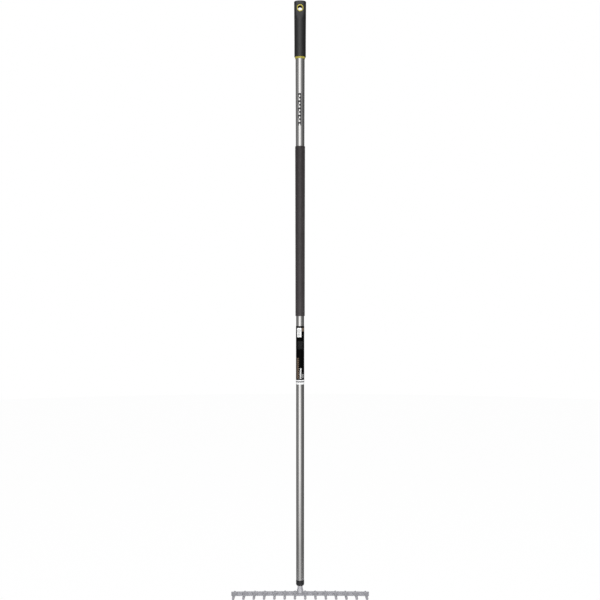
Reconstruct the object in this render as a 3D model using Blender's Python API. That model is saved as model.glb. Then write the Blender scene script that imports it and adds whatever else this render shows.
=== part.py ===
# Garden rake: a straight head of curved tines on a tubular shaft with a two-part hand grip.
# Metres, +Z up. The origin is the middle of the hang hole, and the tines reach out along -Y.

import math

import bmesh
import bpy

# Fits between pieces
GAP = 0.0003                    # between pieces that touch
FILM_GAP = 0.0002               # between the tube and the film round it

# Shaft, a tube that widens from under the foam sleeve to the hand grip
SHAFT_LENGTH = 1.5495
SHAFT_RADIUS = 0.0110
SHAFT_WIDENING = 0.0016         # more radius at the hand grip
WIDENING_POWER = 1.5            # 1 widens evenly, more than 1 widens faster near the grip
SHAFT_WALL = 0.0012
SHAFT_STRETCHES = 6             # straight stretches that make the curve of the widening

# Hand grip
HOLE_TO_END = 0.0191            # from the hang hole's middle to the rim of the grip's end
END_CROWN = 0.0012              # how far the end domes above its rim
END_ROUND = 0.0016
GRIP_LENGTH = 0.1516
GRIP_FLARE = 0.0012             # more radius at the grip's end than at its foot
GRIP_FLARE_LENGTH = 0.0900
CORE_WALL = 0.0013
COVER_WALL = 0.00125
COVER_END_WALL = 0.0024
COVER_FOOT_ROUND = 0.0006
COLLAR_HEIGHT = 0.0051
COLLAR_BAND = 0.0013            # plain band at the collar's top, above its cone
COLLAR_STEP = 0.0008            # how far the collar's top stays inside the cover
COLLAR_LIP = 0.0006             # thickness of the collar's lower edge

# Hang hole and the dished end round it
HANG_HOLE_HALF_WIDTH = 0.0063
HANG_HOLE_HALF_HEIGHT = 0.0073
EYELET_SIDE_WALL = 0.0032       # of the eyelet's oval beside the hole
EYELET_END_WALL = 0.0029        # above the hole and below it
EYELET_PROUD = 0.0009
EYELET_CHAMFER = 0.0005
END_THICKNESS = 0.0220          # from front to back of the grip at the hang hole
DISH_RADIUS = 0.0750
DISH_SKIN = 0.0012              # thickness of the cover over the core's dish

# Foam sleeve
FOAM_DROP = 0.3798              # from the hang hole to the sleeve's upper end
FOAM_LENGTH = 0.4682
FOAM_TOP_WALL = 0.00155
FOAM_FOOT_WALL = 0.0016
FOAM_ROUND = 0.0009
FOAM_STRETCHES = 4              # straight stretches along the sleeve
FOAM_RINGS = 2                  # shallow rings near the upper end
FOAM_RING_PITCH = 0.0042
FOAM_RING_WIDTH = 0.0012
FOAM_RING_DEPTH = 0.0003

# Printed film
LABEL_DROP = 0.8756
LABEL_LENGTH = 0.1606
LABEL_WALL = 0.00025

# Ferrule
FERRULE_COLLAR = 0.0151
FERRULE_STEP = 0.00025          # how far its collar stands out past the tube
FERRULE_LIP = 0.0006            # flat ring round the tang at the collar's foot
FERRULE_ROUND_HEIGHT = 0.0050
FERRULE_DEPTH = 0.0600          # of the bushing in the tube
EDGE = 0.0003                   # small chamfers on turned pieces

# Tang
TANG_RADIUS = 0.0071
TANG_DEPTH = 0.0700             # above the tube's lower end
TANG_POINT = 0.0025             # length of the chamfer at its upper end
TANG_POINT_RADIUS = 0.0045
NECK_HEIGHT = 0.0164            # from the ferrule to the bar's top edge
NECK_STRAIGHT = 0.0040
NECK_POWER = 1.3                # of the flare between the neck and the foot, 1 is a straight cone
FOOT_BAND = 0.0012              # plain band between the neck's flare and the bar's top edge
FOOT_CLEARANCE = 0.0023         # between the foot and the tine tails beside it
FOOT_WALL = 0.0041              # of the foot in front of the bar and behind it
FOOT_LAP = 0.0095               # how far the foot laps the bar's back
FOOT_ROUND = 0.0020
TONGUE_CLEARANCE = 0.00095      # between the front's rounded tongue and the tine roots beside it
TONGUE_HEIGHT = 0.0030

# Bar of the head
BAR_HEIGHT = 0.0121
BAR_THICKNESS = 0.0040
BAR_MARGIN = 0.0100             # past the middle of the end tines
BAR_DROP = 0.0012               # how far its ends bow down
BAR_CHAMFER = 0.0007
BAR_SWELL = 0.0008              # deeper in the middle, under the tang
BAR_SWELL_WIDTH = 0.0360

# Tines
TINE_COUNT = 14
TINE_ROUNDNESS = 0.55           # corner radius of a tine's section, as a share of its smaller half
TENON_ROUNDNESS = 0.9
TINE_PITCH = 0.0277
TINE_REACH = 0.0730             # in front of the bar
TINE_RISE = 0.0095              # of the tip above the root
ROOT_WIDTH = 0.0068
ROOT_INSET = 0.00145            # from the bar's edges to a tine, above and below, before its flare
TIP_WIDTH = 0.0054
TIP_HEIGHT = 0.0062
TIP_ROUND = 0.0020
FLARE_LENGTH = 0.0180
FLARE_WIDTH = 0.0080            # more width where the root meets the bar
FLARE_HEIGHT = 0.0016
TENON_WIDTH = 0.0040
TENON_HEIGHT = 0.0078
TAIL_WIDTH = 0.0050
TAIL_RISE = 0.00135             # above the bar's top edge
TAIL_INSET = 0.00105            # above the bar's lower edge
TAIL_LENGTH = 0.0028
TAIL_ROUND = 0.0018

# Facets
ROUND_STEPS = 40
EYELET_STEPS = 32
DISH_STEPS = 18
CROWN_STEPS = 2
FOAM_ROUND_STEPS = 2
FLARE_STEPS = 3
TINE_STRETCHES = 4
TIP_STEPS = 2
TANG_STEPS = 24
FOOT_STEPS = 3
CORNER_STEPS = 2
ARC_STEPS = 4
BLUNT_ANGLE = 80                # degrees of the round on a blunt end, which leaves a small flat

# Sizes that follow from the ones above
GRIP_SHAFT_RADIUS = SHAFT_RADIUS + SHAFT_WIDENING
SOCKET_RADIUS = GRIP_SHAFT_RADIUS + GAP
CORE_RADIUS = SOCKET_RADIUS + CORE_WALL
COVER_BORE = CORE_RADIUS + GAP
GRIP_RADIUS = COVER_BORE + COVER_WALL
CORE_DISH_HALF = END_THICKNESS / 2 - DISH_SKIN - GAP
EYELET_HALF = END_THICKNESS / 2 + EYELET_PROUD
HANG_HOLE = (HANG_HOLE_HALF_WIDTH, HANG_HOLE_HALF_HEIGHT)
EYELET = (HANG_HOLE_HALF_WIDTH + EYELET_SIDE_WALL, HANG_HOLE_HALF_HEIGHT + EYELET_END_WALL)
EYELET_WINDOW = (EYELET[0] + GAP, EYELET[1] + GAP)

GRIP_FOOT = HOLE_TO_END - GRIP_LENGTH
CORE_TOP = HOLE_TO_END - COVER_END_WALL
COLLAR_TOP = GRIP_FOOT - GAP
COLLAR_FOOT = COLLAR_TOP - COLLAR_HEIGHT

BUSHING_RADIUS = SHAFT_RADIUS - SHAFT_WALL - GAP
FERRULE_RADIUS = SHAFT_RADIUS + FERRULE_STEP
FERRULE_BORE = TANG_RADIUS + GAP
FERRULE_ROUND_WIDTH = FERRULE_RADIUS - FERRULE_BORE - FERRULE_LIP
BAR_LENGTH = TINE_PITCH * (TINE_COUNT - 1) + 2 * BAR_MARGIN
FOOT_HALF_WIDTH = (TINE_PITCH - TAIL_WIDTH) / 2 - FOOT_CLEARANCE
FOOT_HALF_DEPTH = BAR_THICKNESS / 2 + GAP + FOOT_WALL
TONGUE_HALF_WIDTH = (TINE_PITCH - ROOT_WIDTH - FLARE_WIDTH) / 2 - TONGUE_CLEARANCE
ROOT_HEIGHT = BAR_HEIGHT - 2 * ROOT_INSET
TAIL_HEIGHT = BAR_HEIGHT + TAIL_RISE - TAIL_INSET
TAIL_LIFT = (TAIL_RISE + TAIL_INSET) / 2


def dish_run_out(half_thickness, radius, reach):
    # Height at which a dish that is deepest at the hang hole comes out to the given reach from the axis.
    depth = reach - half_thickness
    return math.sqrt(radius ** 2 - (radius - depth) ** 2)


CORE_DISH_RADIUS = DISH_RADIUS + DISH_SKIN + GAP
DISH_HALF_ANGLE = math.acos(1 - (GRIP_RADIUS + GRIP_FLARE - CORE_DISH_HALF) / DISH_RADIUS)
SOCKET_TOP = -dish_run_out(CORE_DISH_HALF, CORE_DISH_RADIUS, CORE_RADIUS)
SHAFT_TOP = SOCKET_TOP - GAP
SHAFT_FOOT = SHAFT_TOP - SHAFT_LENGTH
FERRULE_TOP = SHAFT_FOOT - GAP
FERRULE_FOOT = FERRULE_TOP - FERRULE_COLLAR
BAR_TOP = FERRULE_FOOT - NECK_HEIGHT
BAR_MIDDLE = BAR_TOP - BAR_HEIGHT / 2
WIDENING_FOOT = -LABEL_DROP


# Materials

def make_material(name, colour, roughness, metallic=0.0):
    material = bpy.data.materials.new(name)
    material.use_nodes = True
    shader = material.node_tree.nodes["Principled BSDF"]
    shader.inputs["Base Color"].default_value = (*colour, 1.0)
    shader.inputs["Roughness"].default_value = roughness
    shader.inputs["Metallic"].default_value = metallic
    return material


# Helpers

def shade(mesh):
    # Smooth, except at the real edges.
    mesh.shade_smooth()
    mesh.set_sharp_from_angle(angle=math.radians(35))


def finish(name, bm, material):
    # Puts a closed mesh into the scene as one named piece.
    bmesh.ops.remove_doubles(bm, verts=bm.verts, dist=1e-6)
    bmesh.ops.recalc_face_normals(bm, faces=bm.faces)
    mesh = bpy.data.meshes.new(name)
    bm.to_mesh(mesh)
    bm.free()
    mesh.materials.append(material)
    shade(mesh)
    piece = bpy.data.objects.new(name, mesh)
    bpy.context.scene.collection.objects.link(piece)
    return piece


def combine(piece, tool, operation="DIFFERENCE"):
    # Cuts the tool from the piece, or joins it to the piece, and clears the tool away.
    modifier = piece.modifiers.new("combine", "BOOLEAN")
    modifier.object = tool
    modifier.operation = operation
    modifier.solver = "EXACT"
    evaluated = piece.evaluated_get(bpy.context.evaluated_depsgraph_get())
    mesh = bpy.data.meshes.new_from_object(evaluated)
    mesh.name = piece.name
    shade(mesh)
    piece.modifiers.clear()
    piece.data = mesh
    bpy.data.objects.remove(tool)


def arc(middle, size, start, end, steps=ARC_STEPS):
    # Points on part of an ellipse, from the start angle to the end angle in degrees.
    angles = [math.radians(start + (end - start) * i / steps) for i in range(steps + 1)]
    return [(middle[0] + size[0] * math.cos(a), middle[1] + size[1] * math.sin(a)) for a in angles]


def turned(profile, steps=ROUND_STEPS, closed=True):
    # Spins (radius, height) points round the shaft's axis. An open profile starts and ends on the axis.
    bm = bmesh.new()
    verts = [bm.verts.new((radius, 0, height)) for radius, height in profile]
    pairs = list(zip(verts, verts[1:]))
    if closed:
        pairs.append((verts[-1], verts[0]))
    edges = [bm.edges.new(pair) for pair in pairs]
    bmesh.ops.spin(
        bm, geom=verts + edges, cent=(0, 0, 0), axis=(0, 0, 1), angle=math.tau, steps=steps, use_merge=True
    )
    return bm


def lofted(sections):
    # Draws a face out through rings of points, each with the same count and the same start.
    bm = bmesh.new()
    cap = bm.faces.new([bm.verts.new(point) for point in sections[0]])
    for step, section in enumerate(sections[1:]):
        grown = bmesh.ops.extrude_face_region(bm, geom=[cap])["geom"]
        if step:
            bmesh.ops.delete(bm, geom=[cap], context="FACES_ONLY")
        cap = next(item for item in grown if isinstance(item, bmesh.types.BMFace))
        for vert, point in zip(cap.verts, section):
            vert.co = point
    return bm


def extruded(outline, depth):
    # Extrudes a flat outline of points by the given vector.
    bm = bmesh.new()
    face = bm.faces.new([bm.verts.new(point) for point in outline])
    result = bmesh.ops.extrude_face_region(bm, geom=[face])
    moved = [item for item in result["geom"] if isinstance(item, bmesh.types.BMVert)]
    bmesh.ops.translate(bm, verts=moved, vec=depth)
    return bm


def rod_across(size, half_length):
    # An oval rod through the hang hole's middle, from front to back.
    angles = [math.tau * i / EYELET_STEPS for i in range(EYELET_STEPS)]
    outline = [(size[0] * math.cos(a), -half_length, size[1] * math.sin(a)) for a in angles]
    return extruded(outline, (0, 2 * half_length, 0))


# Shaft

def shaft_radius(height):
    # Outer radius of the tube at a height: it widens in a gentle curve up to the hand grip.
    share = (height - WIDENING_FOOT) / (COLLAR_FOOT - WIDENING_FOOT)
    return SHAFT_RADIUS + SHAFT_WIDENING * min(max(share, 0.0), 1.0) ** WIDENING_POWER


def make_shaft(material):
    rise = (COLLAR_FOOT - WIDENING_FOOT) / SHAFT_STRETCHES
    heights = [WIDENING_FOOT + rise * i for i in range(SHAFT_STRETCHES + 1)]
    outside = [(SHAFT_RADIUS, SHAFT_FOOT)]
    outside += [(shaft_radius(height), height) for height in heights]
    outside.append((GRIP_SHAFT_RADIUS, SHAFT_TOP))
    inside = [(radius - SHAFT_WALL, height) for radius, height in reversed(outside)]
    finish("shaft_tube", turned(outside + inside), material)


# Hand grip

def cut_dishes(piece, half_thickness, radius):
    # Leaves a shallow dish across the piece's front and its back, deepest at the hang hole.
    angles = [DISH_HALF_ANGLE * (2 * i / DISH_STEPS - 1) for i in range(DISH_STEPS + 1)]
    width = 2 * GRIP_RADIUS
    for side in (-1, 1):
        middle = side * (half_thickness + radius)
        outline = [(-width, middle - side * radius * math.cos(a), radius * math.sin(a)) for a in angles]
        combine(piece, finish("dish", extruded(outline, (2 * width, 0, 0)), piece.data.materials[0]))


def make_grip_core(material):
    collar_top_radius = GRIP_RADIUS - COLLAR_STEP
    profile = [(0, CORE_TOP), (CORE_RADIUS - EDGE, CORE_TOP), (CORE_RADIUS, CORE_TOP - EDGE)]
    profile += [(CORE_RADIUS, COLLAR_TOP), (collar_top_radius, COLLAR_TOP)]
    profile += [(collar_top_radius, COLLAR_TOP - COLLAR_BAND)]
    profile += [(SOCKET_RADIUS + COLLAR_LIP, COLLAR_FOOT), (SOCKET_RADIUS, COLLAR_FOOT)]
    profile += [(SOCKET_RADIUS, SOCKET_TOP), (0, SOCKET_TOP)]
    core = finish("grip_core", turned(profile, closed=False), material)
    cut_dishes(core, CORE_DISH_HALF, CORE_DISH_RADIUS)
    eyelet = rod_across(EYELET, EYELET_HALF)
    rims = [edge for edge in eyelet.edges if abs(edge.verts[0].co.y - edge.verts[1].co.y) < GAP]
    bmesh.ops.bevel(
        eyelet, geom=rims, offset=EYELET_CHAMFER, affect="EDGES", segments=1, profile=0.5, material=-1
    )
    combine(core, finish("eyelet", eyelet, material), "UNION")
    combine(core, finish("hang_hole", rod_across(HANG_HOLE, 2 * GRIP_RADIUS), material))


def make_grip_cover(material):
    rim = GRIP_RADIUS + GRIP_FLARE - END_ROUND
    shares = [i / CROWN_STEPS for i in range(CROWN_STEPS)]
    profile = [(rim * share, HOLE_TO_END + END_CROWN * (1 - share ** 2)) for share in shares]
    profile += arc((rim, HOLE_TO_END - END_ROUND), (END_ROUND, END_ROUND), 90, 0)
    profile.append((GRIP_RADIUS, HOLE_TO_END - GRIP_FLARE_LENGTH))
    foot_middle = (GRIP_RADIUS - COVER_FOOT_ROUND, GRIP_FOOT + COVER_FOOT_ROUND)
    profile += arc(foot_middle, (COVER_FOOT_ROUND, COVER_FOOT_ROUND), 0, -90, 2)
    profile.append((0, GRIP_FOOT))
    cover = finish("grip_cover", turned(profile, closed=False), material)
    cut_dishes(cover, END_THICKNESS / 2, DISH_RADIUS)
    # The space inside follows the core, dishes and all.
    top = CORE_TOP + GAP
    below = GRIP_FOOT - COVER_WALL
    rod = turned([(0, top), (COVER_BORE, top), (COVER_BORE, below), (0, below)], closed=False)
    space = finish("core_space", rod, material)
    cut_dishes(space, CORE_DISH_HALF + GAP, CORE_DISH_RADIUS - GAP)
    combine(cover, space)
    combine(cover, finish("eyelet_window", rod_across(EYELET_WINDOW, 2 * GRIP_RADIUS), material))


# Sleeves on the shaft

def foam_wall(height):
    share = (height + FOAM_DROP + FOAM_LENGTH) / FOAM_LENGTH
    return FOAM_FOOT_WALL + (FOAM_TOP_WALL - FOAM_FOOT_WALL) * share


def foam_radius(height):
    return shaft_radius(height) + GAP + foam_wall(height)


def make_foam_sleeve(material):
    top = -FOAM_DROP
    foot = top - FOAM_LENGTH
    size = (FOAM_ROUND, FOAM_ROUND)
    outside = arc((foam_radius(top) - FOAM_ROUND, top - FOAM_ROUND), size, 90, 0, FOAM_ROUND_STEPS)
    for i in range(FOAM_RINGS):
        ring = top - FOAM_RING_PITCH * (i + 1)
        above, below = ring + FOAM_RING_WIDTH / 2, ring - FOAM_RING_WIDTH / 2
        outside.append((foam_radius(above), above))
        outside.append((foam_radius(ring) - FOAM_RING_DEPTH, ring))
        outside.append((foam_radius(below), below))
    heights = [foot + FOAM_LENGTH * i / FOAM_STRETCHES for i in range(FOAM_STRETCHES + 1)]
    outside += [(foam_radius(height), height) for height in heights[-2:0:-1]]
    outside += arc((foam_radius(foot) - FOAM_ROUND, foot + FOAM_ROUND), size, 0, -90, FOAM_ROUND_STEPS)
    inside = [(shaft_radius(height) + GAP, height) for height in heights]
    finish("foam_sleeve", turned(outside + inside), material)


def make_label_sleeve(material):
    bore = SHAFT_RADIUS + FILM_GAP
    top = -LABEL_DROP
    foot = top - LABEL_LENGTH
    profile = [(bore + LABEL_WALL, top), (bore + LABEL_WALL, foot), (bore, foot), (bore, top)]
    finish("label_sleeve", turned(profile), material)


# Ferrule and tang

def make_ferrule(material):
    bushing_top = FERRULE_TOP + FERRULE_DEPTH
    round_middle = (FERRULE_BORE + FERRULE_LIP, FERRULE_FOOT + FERRULE_ROUND_HEIGHT)
    profile = [(FERRULE_BORE, bushing_top), (BUSHING_RADIUS - EDGE, bushing_top)]
    profile += [(BUSHING_RADIUS, bushing_top - EDGE), (BUSHING_RADIUS, FERRULE_TOP)]
    profile += [(FERRULE_RADIUS - EDGE, FERRULE_TOP), (FERRULE_RADIUS, FERRULE_TOP - EDGE)]
    profile += arc(round_middle, (FERRULE_ROUND_WIDTH, FERRULE_ROUND_HEIGHT), 0, -90)
    profile.append((FERRULE_BORE, FERRULE_FOOT))
    finish("ferrule", turned(profile), material)


def oval(half_width, half_depth, height):
    angles = [math.tau * i / TANG_STEPS for i in range(TANG_STEPS)]
    return [(half_width * math.cos(a), half_depth * math.sin(a), height) for a in angles]


def make_tang(material):
    tang_top = SHAFT_FOOT + TANG_DEPTH
    flare_top = FERRULE_FOOT - NECK_STRAIGHT
    flare_foot = BAR_TOP + FOOT_BAND
    foot_end = BAR_TOP - FOOT_LAP
    sections = [oval(TANG_POINT_RADIUS, TANG_POINT_RADIUS, tang_top)]
    sections += [oval(TANG_RADIUS, TANG_RADIUS, height) for height in (tang_top - TANG_POINT, flare_top)]
    for i in range(1, ARC_STEPS + 1):
        share = i / ARC_STEPS
        half_width = TANG_RADIUS + (FOOT_HALF_WIDTH - TANG_RADIUS) * share ** NECK_POWER
        half_depth = TANG_RADIUS + (FOOT_HALF_DEPTH - TANG_RADIUS) * share
        sections.append(oval(half_width, half_depth, flare_top + (flare_foot - flare_top) * share))
    corner = (FOOT_HALF_WIDTH - FOOT_ROUND, foot_end + FOOT_ROUND)
    for half_width, height in arc(corner, (FOOT_ROUND, FOOT_ROUND), 0, -90, FOOT_STEPS):
        sections.append(oval(half_width, FOOT_HALF_DEPTH, height))
    tang = finish("tang", lofted(sections), material)
    # The saddle takes the bar. In front of it only a rounded tongue reaches below its top edge.
    face = BAR_THICKNESS / 2 + GAP
    seat = BAR_TOP + GAP
    side = 2 * FOOT_HALF_WIDTH
    below = foot_end - FOOT_LAP
    outline = [(-side, -face, seat), (-side, face, seat), (-side, face, below), (-side, -face, below)]
    saddle = extruded(outline, (2 * side, 0, 0))
    combine(tang, finish("bar_saddle", saddle, material))
    tongue = arc((0, BAR_TOP), (TONGUE_HALF_WIDTH, TONGUE_HEIGHT), 0, -180, 2 * ARC_STEPS)
    edge = [(side, below), (side, BAR_TOP)] + tongue + [(-side, BAR_TOP), (-side, below)]
    front = extruded([(x, 0, z) for x, z in edge], (0, -2 * FOOT_HALF_DEPTH, 0))
    combine(tang, finish("tongue_outline", front, material))


# Head

def tine_places():
    return [(i - (TINE_COUNT - 1) / 2) * TINE_PITCH for i in range(TINE_COUNT)]


def bar_middle(x):
    # Height of the bar's middle line: its ends bow down.
    return BAR_MIDDLE - BAR_DROP * (2 * x / BAR_LENGTH) ** 2


def rounded_section(half_width, half_height, roundness):
    # Twelve (x, z) points round a rectangle whose corners are rounded by a share of its smaller half.
    corner = min(half_width, half_height) * roundness
    points = []
    for quarter, (side_x, side_z) in enumerate(((1, 1), (-1, 1), (-1, -1), (1, -1))):
        middle = (side_x * (half_width - corner), side_z * (half_height - corner))
        points += arc(middle, (corner, corner), 90 * quarter, 90 * quarter + 90, CORNER_STEPS)
    return points


def section_at(x, y, z, half_width, half_height, roundness):
    return [(x + u, y, z + v) for u, v in rounded_section(half_width, half_height, roundness)]


def bar_section(x, inset=0.0):
    half_y = BAR_THICKNESS / 2 - inset
    half_z = BAR_HEIGHT / 2 - inset
    swell = BAR_SWELL * max(0.0, 1 - (2 * x / BAR_SWELL_WIDTH) ** 2)
    top = bar_middle(x) + half_z
    foot = bar_middle(x) - half_z - swell
    cut = BAR_CHAMFER
    corners = [(half_y - cut, top), (-half_y + cut, top), (-half_y, top - cut), (-half_y, foot + cut)]
    corners += [(-half_y + cut, foot), (half_y - cut, foot), (half_y, foot + cut), (half_y, top - cut)]
    return [(x, y, z) for y, z in corners]


def bar_stations():
    # Places along the bar: its ends, midway between the tines, and closer over the swell in the middle.
    ends = [BAR_LENGTH / 2 - BAR_CHAMFER, BAR_CHAMFER - BAR_LENGTH / 2]
    between = [(i - TINE_COUNT / 2) * TINE_PITCH for i in range(1, TINE_COUNT)]
    swell = [BAR_SWELL_WIDTH * share for share in (-0.5, -0.25, 0.25, 0.5)]
    return sorted(ends + between + swell)


def make_head_bar(material):
    end = BAR_LENGTH / 2
    sections = [bar_section(-end, BAR_CHAMFER / 2)]
    sections += [bar_section(x) for x in bar_stations()]
    sections.append(bar_section(end, BAR_CHAMFER / 2))
    bar = finish("head_bar", lofted(sections), material)
    slots = bmesh.new()
    for x in tine_places():
        args = (TENON_WIDTH / 2 + GAP, TENON_HEIGHT / 2 + GAP, TENON_ROUNDNESS)
        outline = section_at(x, -BAR_THICKNESS, bar_middle(x), *args)
        face = slots.faces.new([slots.verts.new(point) for point in outline])
        result = bmesh.ops.extrude_face_region(slots, geom=[face])
        moved = [item for item in result["geom"] if isinstance(item, bmesh.types.BMVert)]
        bmesh.ops.translate(slots, verts=moved, vec=(0, 2 * BAR_THICKNESS, 0))
    combine(bar, finish("tine_slots", slots, material))


def tine_sections(x):
    # Rings from the tail behind the bar, through the tenon and the flared root, to the blunt tip.
    z = bar_middle(x)
    back = BAR_THICKNESS / 2 + GAP
    sections = []
    for trim, along in arc((0, 0), (TAIL_ROUND, TAIL_LENGTH), BLUNT_ANGLE, 0):
        size = (TAIL_WIDTH / 2 + trim - TAIL_ROUND, TAIL_HEIGHT / 2 + trim - TAIL_ROUND, TENON_ROUNDNESS)
        sections.append(section_at(x, back + along, z + TAIL_LIFT, *size))
    for y in (back, -back):
        sections.append(section_at(x, y, z, TENON_WIDTH / 2, TENON_HEIGHT / 2, TENON_ROUNDNESS))
    bend = (TINE_REACH ** 2 + TINE_RISE ** 2) / (2 * TINE_RISE)
    tip_start = TINE_REACH - TIP_ROUND
    stations = [(FLARE_LENGTH * (i / FLARE_STEPS) ** 2, 0.0) for i in range(FLARE_STEPS)]
    for i in range(TINE_STRETCHES):
        stations.append((FLARE_LENGTH + (tip_start - FLARE_LENGTH) * i / TINE_STRETCHES, 0.0))
    for rest, out in arc((0, tip_start), (TIP_ROUND, TIP_ROUND), 0, BLUNT_ANGLE, TIP_STEPS):
        stations.append((out, TIP_ROUND - rest))
    for out, trim in stations:
        share = out / TINE_REACH
        flare = max(0.0, 1 - out / FLARE_LENGTH) ** 2
        width = ROOT_WIDTH + (TIP_WIDTH - ROOT_WIDTH) * share + FLARE_WIDTH * flare
        height = ROOT_HEIGHT + (TIP_HEIGHT - ROOT_HEIGHT) * share + FLARE_HEIGHT * flare
        lift = bend - math.sqrt(bend ** 2 - out ** 2)
        size = (width / 2 - trim, height / 2 - trim, TINE_ROUNDNESS)
        sections.append(section_at(x, -back - out, z + lift, *size))
    return sections


def make_tines(material):
    for number, x in enumerate(tine_places(), start=1):
        finish(f"tine_{number:02d}", lofted(tine_sections(x)), material)


def main():
    for item in list(bpy.data.objects):
        bpy.data.objects.remove(item)
    make_shaft(make_material("aluminium", (0.62, 0.62, 0.64), 0.32, 1.0))
    make_grip_core(make_material("amber_plastic", (0.72, 0.36, 0.03), 0.4))
    make_grip_cover(make_material("black_soft_plastic", (0.022, 0.022, 0.024), 0.55))
    make_foam_sleeve(make_material("charcoal_foam", (0.055, 0.055, 0.058), 0.85))
    make_label_sleeve(make_material("printed_film", (0.015, 0.015, 0.016), 0.35))
    make_ferrule(make_material("black_plastic", (0.018, 0.018, 0.02), 0.45))
    steel = make_material("grey_steel", (0.32, 0.32, 0.34), 0.5, 0.6)
    make_tang(make_material("bright_steel", (0.42, 0.42, 0.44), 0.42, 0.7))
    make_head_bar(steel)
    make_tines(steel)


main()
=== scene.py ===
import math

import bmesh
import bpy
from mathutils import Matrix, Vector, noise


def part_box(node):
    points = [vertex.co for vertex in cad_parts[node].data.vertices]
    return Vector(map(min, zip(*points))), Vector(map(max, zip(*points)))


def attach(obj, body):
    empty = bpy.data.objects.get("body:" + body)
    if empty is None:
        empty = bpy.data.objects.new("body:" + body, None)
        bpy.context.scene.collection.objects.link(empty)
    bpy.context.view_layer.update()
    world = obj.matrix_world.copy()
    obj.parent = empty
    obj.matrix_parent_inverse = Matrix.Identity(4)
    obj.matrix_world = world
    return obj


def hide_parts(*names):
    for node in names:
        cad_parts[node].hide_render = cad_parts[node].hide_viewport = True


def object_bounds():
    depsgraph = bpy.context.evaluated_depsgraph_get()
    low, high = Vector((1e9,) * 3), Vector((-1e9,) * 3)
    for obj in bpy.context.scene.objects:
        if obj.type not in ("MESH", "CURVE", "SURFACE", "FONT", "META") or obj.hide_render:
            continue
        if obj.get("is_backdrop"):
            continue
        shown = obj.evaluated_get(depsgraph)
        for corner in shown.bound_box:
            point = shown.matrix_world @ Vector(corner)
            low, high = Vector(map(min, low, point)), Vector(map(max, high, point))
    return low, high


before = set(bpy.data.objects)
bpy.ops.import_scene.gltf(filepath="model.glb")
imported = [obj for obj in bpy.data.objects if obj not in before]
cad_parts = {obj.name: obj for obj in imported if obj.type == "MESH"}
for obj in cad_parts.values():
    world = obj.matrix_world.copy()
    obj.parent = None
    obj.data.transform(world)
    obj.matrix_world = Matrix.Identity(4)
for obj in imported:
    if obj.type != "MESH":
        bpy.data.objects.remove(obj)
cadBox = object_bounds()
print("frame loaded:", len(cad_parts), "nodes")

mm = 0.001
fit = 0.3 * mm              # gap between pieces that touch
sliver = 0.004 * mm         # edges shorter than this are closed after a cut


# Camera and studio

view = dict(
    distance=2.75,          # from the shaft to the camera
    eyeLevel=-0.8038,       # halfway down the shaft, where the camera looks level
    side=-0.0003,
    lens=59.76,
    sensor=36.0,
)

studio = dict(
    floorDrop=0.10,         # floor under the head, which hangs clear of it
    floorSize=14.0,
    floorPaint=(0.86, 0.86, 0.86),
    floorGlow=0.97,         # share of the floor that is plain white to the camera
    skyLight=0.58,
    skyTint=(0.97, 0.985, 1.0),
)

lamps = dict(
    # place, aimed-at point, width, height, watts
    front=((-0.27, -3.15, -0.50), (0, 0, -0.62), 3.0, 3.1, 78.0),
    top=((0.5, -0.5, 2.2), (0, 0, -0.8), 1.4, 1.4, 75.0),
)

tent = dict(
    # a light tent that only glossy surfaces see: bright in front, dark at the sides
    radius=0.40,
    top=1.2,
    foot=-1.715,
    changeTop=-1.28,        # the tent's light turns from the upper greys to the lower ones
    changeFoot=-1.66,
    brightest=2.0,          # the grey that a stop of 1 stands for
    # degrees from the front, seen from above (left is negative), and greys
    upper=(
        (-180, 0.12), (-140, 0.16), (-112, 0.22), (-74, 0.24), (-48, 0.42), (-30, 0.85), (-20, 1.62),
        (-4, 1.62), (10, 1.10), (24, 0.52), (44, 0.26), (80, 0.15), (120, 0.10), (180, 0.12),
    ),
    lower=(
        (-180, 0.95), (-135, 0.16), (-80, 0.19), (-48, 0.25), (-26, 0.46), (-10, 0.75), (6, 0.70),
        (26, 0.30), (48, 0.20), (80, 0.15), (130, 0.15), (180, 0.95),
    ),
)


def makeCamera():
    data = bpy.data.cameras.new("camera")
    data.lens = view["lens"]
    data.sensor_width = view["sensor"]
    camera = bpy.data.objects.new("camera", data)
    camera.location = (view["side"], -view["distance"], view["eyeLevel"])
    camera.rotation_euler = (math.radians(90), 0, 0)
    bpy.context.scene.collection.objects.link(camera)
    bpy.context.scene.camera = camera


def makeLamp(name, place, aim, width, height, watts):
    data = bpy.data.lights.new(name, "AREA")
    data.shape = "RECTANGLE"
    data.size = width
    data.size_y = height
    data.energy = watts
    lamp = bpy.data.objects.new(name, data)
    lamp.location = place
    lamp.rotation_euler = (Vector(aim) - Vector(place)).to_track_quat("-Z", "Y").to_euler()
    lamp.visible_glossy = False
    bpy.context.scene.collection.objects.link(lamp)


# Shader maths: a socket that turns Python sums into Math nodes

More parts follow.
